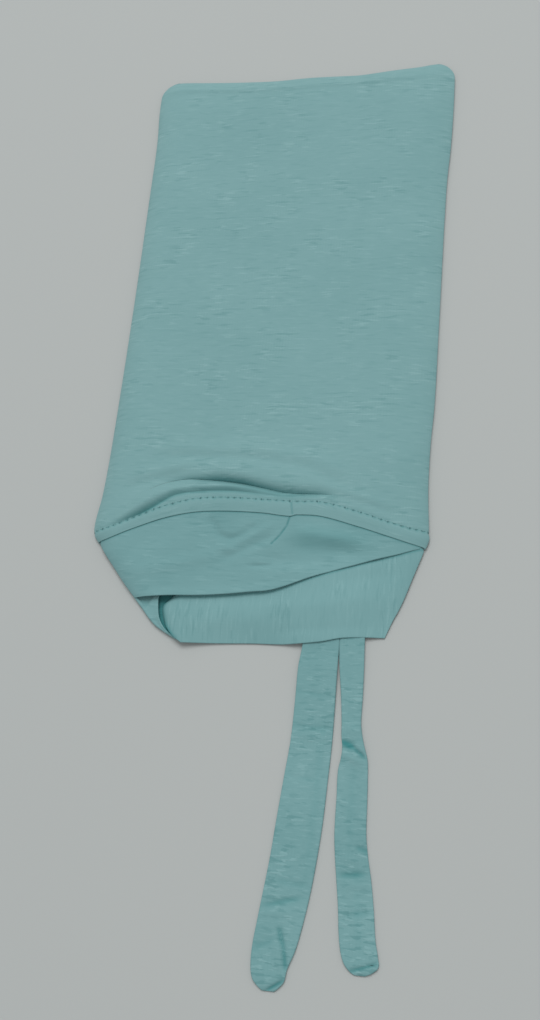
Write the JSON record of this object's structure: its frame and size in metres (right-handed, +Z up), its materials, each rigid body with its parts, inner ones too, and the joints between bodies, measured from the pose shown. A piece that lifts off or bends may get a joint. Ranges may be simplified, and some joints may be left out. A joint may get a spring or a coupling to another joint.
{
  "type": "criss-cross underscarf cap",
  "caption": "Knitted jersey underscarf cap lying flat: a tube crown closed at one end, a stitched rim, cross bands over the mouth, a nape band and a pair of flat ties.",
  "frame": {"origin": "on the surface that the cap lies on, under the middle of its bounding box", "axes": "+Y along the cap from the tie tips towards the closed end of the crown, +Z up out of the surface, +X to the right as the mouth is seen from the ties"},
  "size_m": [0.2422, 0.6896, 0.0137],
  "materials": {
    "jersey": "matt slubbed jersey"
  },
  "bodies": {
    "root": {"crown": "jersey", "rim_binding": "jersey", "inner_cross_band": "jersey", "outer_cross_band": "jersey", "nape_band": "jersey", "left_tie": "jersey", "right_tie": "jersey"}
  },
  "joints": []
}
